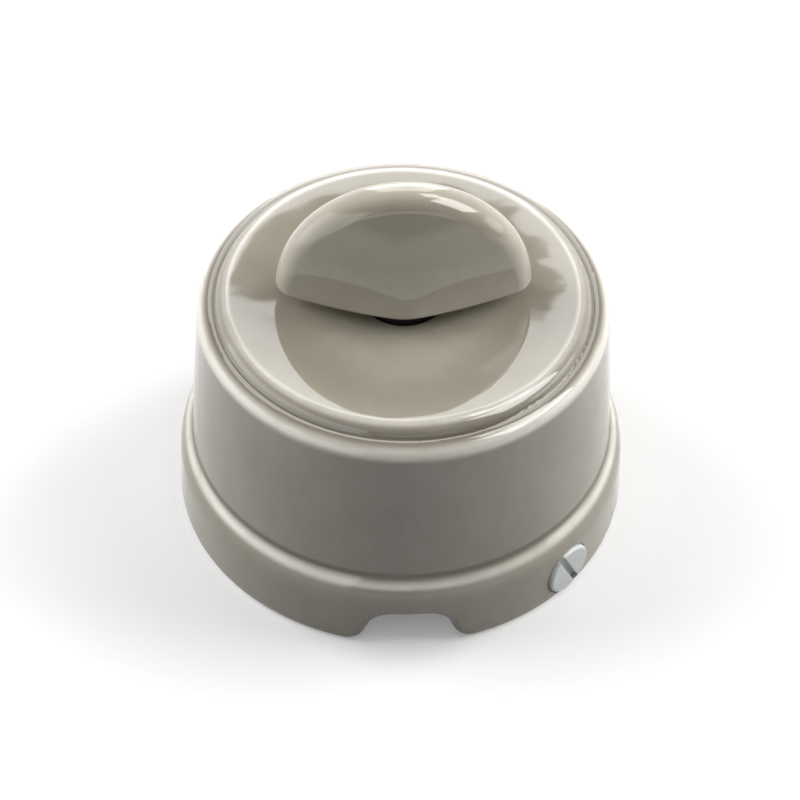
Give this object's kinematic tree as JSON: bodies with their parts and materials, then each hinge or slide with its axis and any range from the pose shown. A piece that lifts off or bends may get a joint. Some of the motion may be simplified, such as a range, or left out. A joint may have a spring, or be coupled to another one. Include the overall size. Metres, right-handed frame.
{
  "type": "rotary light switch",
  "caption": "Surface-mounted rotary light switch: round glazed porcelain cover with stepped flange and cable entry, half-moon knob on a spindle, and contact mechanism on a wall plate.",
  "frame": {"origin": "centre of the face that lies on the wall", "axes": "+Z out of the wall along the spindle; -Y towards the cable entry; the knob's length lies along X at rest"},
  "size_m": [0.0648, 0.0645, 0.057],
  "materials": {
    "glazed_porcelain": "warm grey glaze, glossy",
    "white_nylon": "satin white nylon",
    "bare_porcelain": "white, unglazed",
    "black_moulding": "black thermoset",
    "brass": "stamped, bright",
    "silver": "silver contact face",
    "steel": "zinc plated",
    "spring_steel": "hard rolled strip",
    "white_acetal": "natural acetal"
  },
  "bodies": {
    "housing": {"cover": "glazed_porcelain", "cover_screws": "white_nylon", "base_plate": "bare_porcelain", "screw_inserts": "brass", "contact_base": "black_moulding", "fixed_contact_front": "brass", "fixed_contact_back": "brass", "fixed_tips": "silver", "terminal_washers": "steel", "terminal_screws": "steel", "detent_housing": "black_moulding", "detent_spring_left": "spring_steel", "detent_spring_right": "spring_steel", "spindle_turret": "black_moulding", "mechanism_screws": "steel", "mechanism_nuts": "steel"},
    "rotor": {"knob": "glazed_porcelain", "knob_insert": "black_moulding", "spindle": "steel", "retaining_clip": "spring_steel", "contact_bridge": "brass", "bridge_tips": "silver", "spring_washer": "spring_steel", "detent_cam": "white_acetal"}
  },
  "joints": [
    {"name": "knob_turn", "type": "hinge", "parent": "housing", "child": "rotor", "pos_m": [0, 0, 0.038], "axis": [0, 0, 1], "continuous": true, "deforming": ["detent_spring_left", "detent_spring_right"]}
  ]
}
